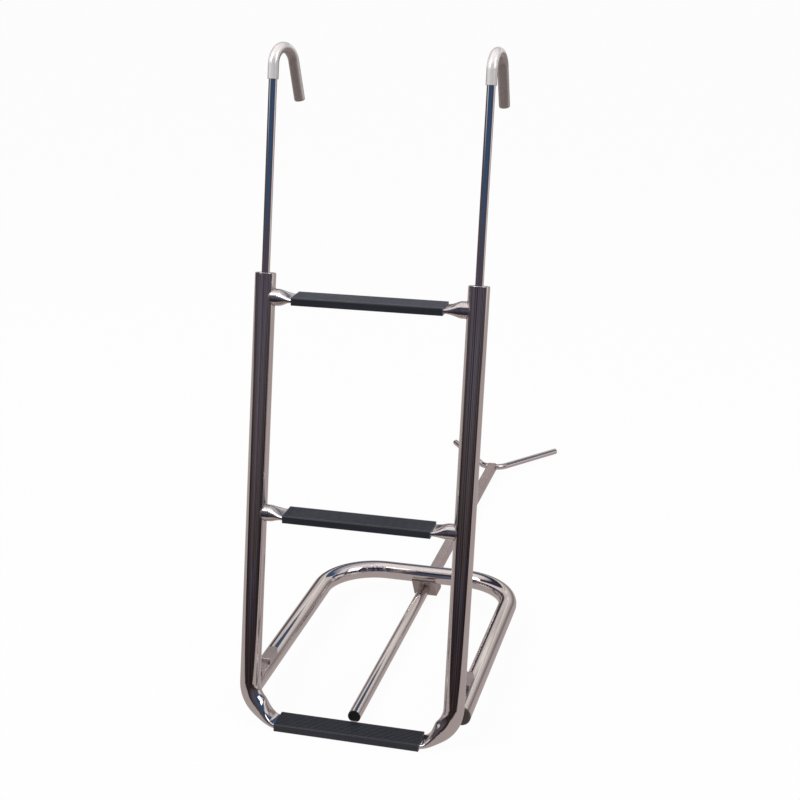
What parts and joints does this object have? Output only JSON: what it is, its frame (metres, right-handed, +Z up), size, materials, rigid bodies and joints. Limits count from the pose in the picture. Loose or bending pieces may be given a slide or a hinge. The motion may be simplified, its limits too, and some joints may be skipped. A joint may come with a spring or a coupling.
{
  "type": "bow ladder",
  "caption": "Hook-on bow ladder of polished bent tube with ribbed tread covers, swivelling hooks, a fold-up stand-off frame and a sliding arm with a stem fork.",
  "frame": {"origin": "middle of the underside of the lowest tread, where the ladder stands on a level floor", "axes": "+X along the treads, to the right of a climber; +Y away from the climber, towards the boat, along the arm; +Z up. The uprights lean back towards +Y by 11.3 degrees."},
  "size_m": [0.2894, 1.0402, 0.795],
  "materials": {
    "polished_stainless": "mirror-polished stainless steel tube and rod",
    "satin_stainless": "satin stainless steel, as cut and welded",
    "tread_plastic": "extruded black plastic, fine grooves on top",
    "sleeve_plastic": "milky soft plastic sleeve",
    "black_plug_plastic": "moulded black plastic plug",
    "guide_plastic": "turned natural plastic guide"
  },
  "bodies": {
    "ladder": {"front_frame_tube": "polished_stainless", "upper_step_tube": "polished_stainless", "middle_step_tube": "polished_stainless", "upper_tread": "tread_plastic", "middle_tread": "tread_plastic", "lowest_tread": "tread_plastic", "left_upright_plug": "polished_stainless", "right_upright_plug": "polished_stainless", "left_hinge_ears": "satin_stainless", "right_hinge_ears": "satin_stainless", "left_hinge_pin": "satin_stainless", "right_hinge_pin": "satin_stainless"},
    "left_guide": {"left_rod_guide": "guide_plastic"},
    "right_guide": {"right_rod_guide": "guide_plastic"},
    "left_hook": {"left_hook_rod": "polished_stainless", "left_hook_sleeve": "sleeve_plastic"},
    "right_hook": {"right_hook_rod": "polished_stainless", "right_hook_sleeve": "sleeve_plastic"},
    "stand_off": {"stand_off_tube": "polished_stainless", "arm_socket": "satin_stainless", "left_leg_plug": "black_plug_plastic", "right_leg_plug": "black_plug_plastic", "left_hinge_lug": "satin_stainless", "right_hinge_lug": "satin_stainless"},
    "arm": {"arm_front_tube": "polished_stainless", "arm_end_plug": "black_plug_plastic", "arm_rear_tube": "satin_stainless", "stem_fork": "polished_stainless"}
  },
  "joints": [
    {"name": "left_hook_slide", "type": "slide", "parent": "ladder", "child": "left_guide", "axis": [0, 0.1959, 0.9806], "range_m": [-0.2, 0]},
    {"name": "left_hook_swivel", "type": "hinge", "parent": "left_guide", "child": "left_hook", "pos_m": [-0.12735, 0.1064, 0.53717], "axis": [0, 0.1959, 0.9806], "continuous": true},
    {"name": "right_hook_slide", "type": "slide", "parent": "ladder", "child": "right_guide", "axis": [0, 0.1959, 0.9806], "range_m": [-0.2, 0]},
    {"name": "right_hook_swivel", "type": "hinge", "parent": "right_guide", "child": "right_hook", "pos_m": [0.12735, 0.1064, 0.53717], "axis": [0, 0.1959, 0.9806], "continuous": true},
    {"name": "stand_off_fold", "type": "hinge", "parent": "ladder", "child": "stand_off", "pos_m": [0, 0.02984, 0.0517], "axis": [1, 0, 0], "range_deg": [0, 78]},
    {"name": "arm_slide", "type": "slide", "parent": "stand_off", "child": "arm", "axis": [0, 1, 0], "range_m": [0, 0.33]}
  ]
}
